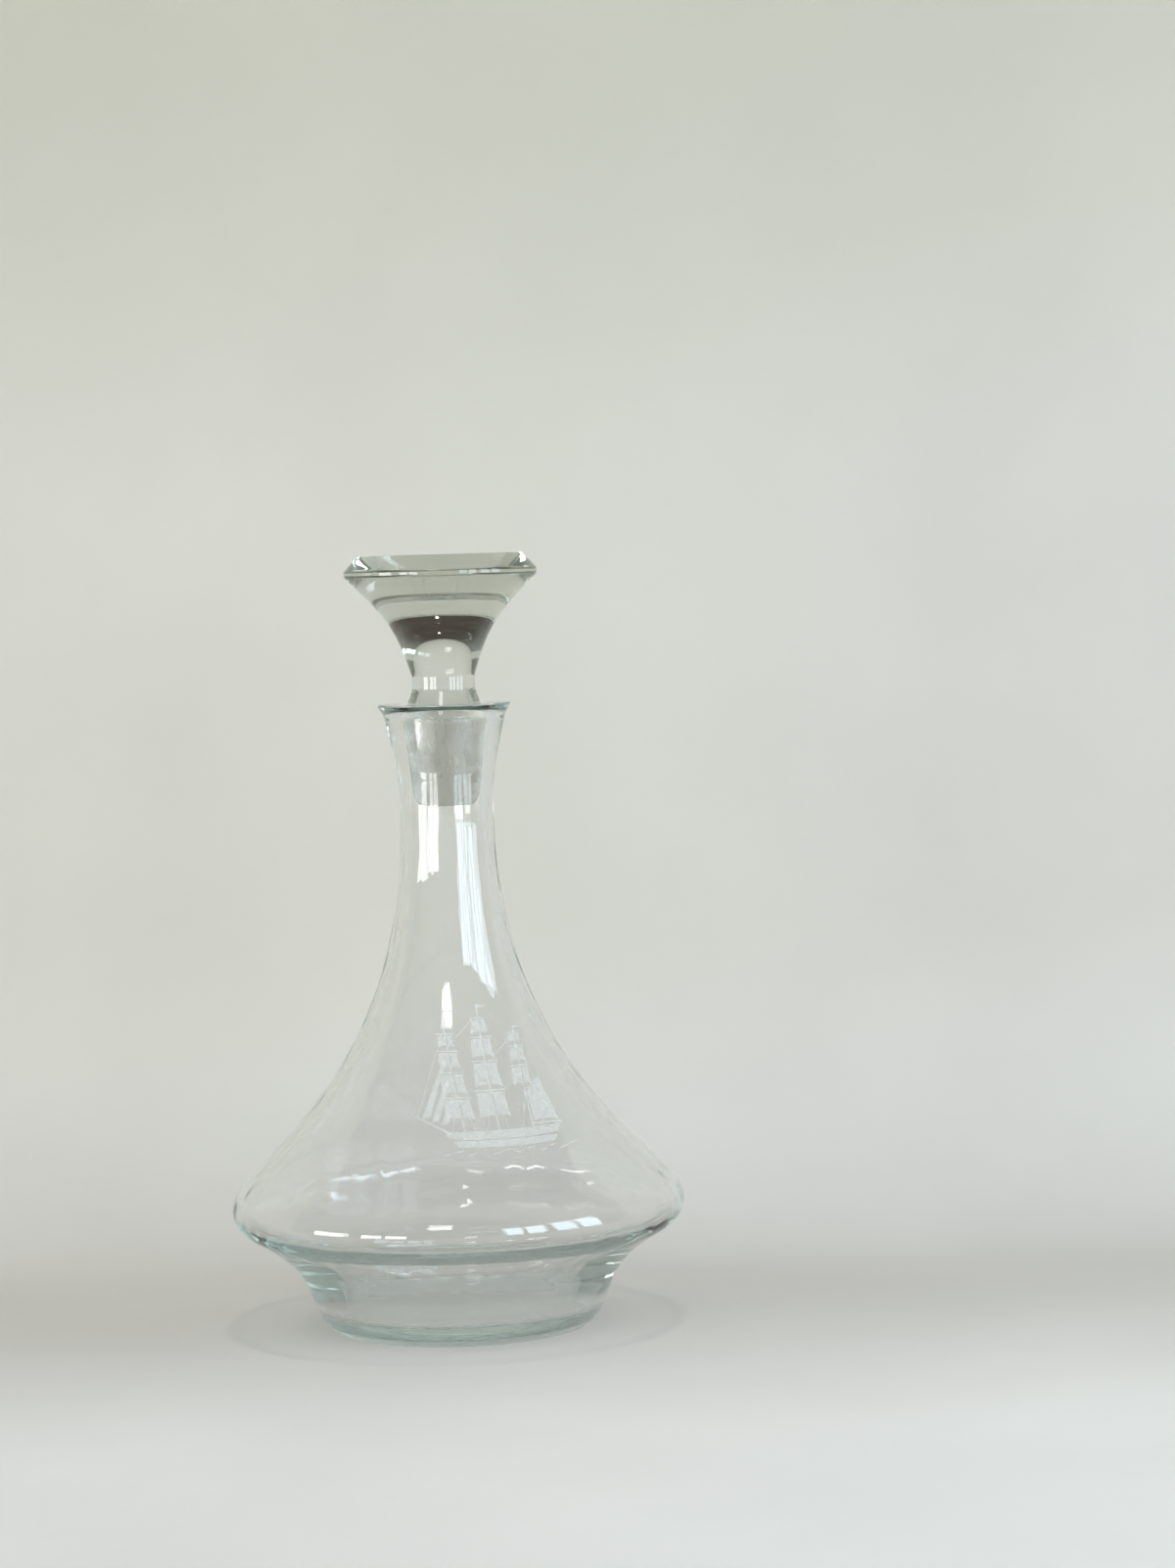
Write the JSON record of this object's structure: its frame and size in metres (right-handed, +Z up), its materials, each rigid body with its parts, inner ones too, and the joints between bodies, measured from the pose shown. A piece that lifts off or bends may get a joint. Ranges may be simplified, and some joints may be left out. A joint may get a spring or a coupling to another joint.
{
  "type": "etched glass decanter",
  "caption": "Wide-based clear glass decanter with a tall trumpet neck, an etched picture on its side and a solid glass stopper that lifts out of the ground mouth.",
  "frame": {"origin": "middle of the foot, on the surface that the decanter stands on", "axes": "+Z up along the neck and the stopper; the etched picture faces -Y"},
  "size_m": [0.1528, 0.1528, 0.26],
  "materials": {
    "clear_glass": "polished clear glass with a faint grey-green tint that shows where it is thick or seen edge on, and an acid-frosted picture on the front of the bowl",
    "stopper_glass": "polished clear glass head and neck, ground grey plug"
  },
  "bodies": {
    "vessel": {"decanter_body": "clear_glass"},
    "stopper": {"stopper": "stopper_glass"}
  },
  "joints": [
    {"name": "stopper_lift", "type": "slide", "parent": "vessel", "child": "stopper", "axis": [0, 0, 1], "range_m": [0, 0.045]}
  ]
}
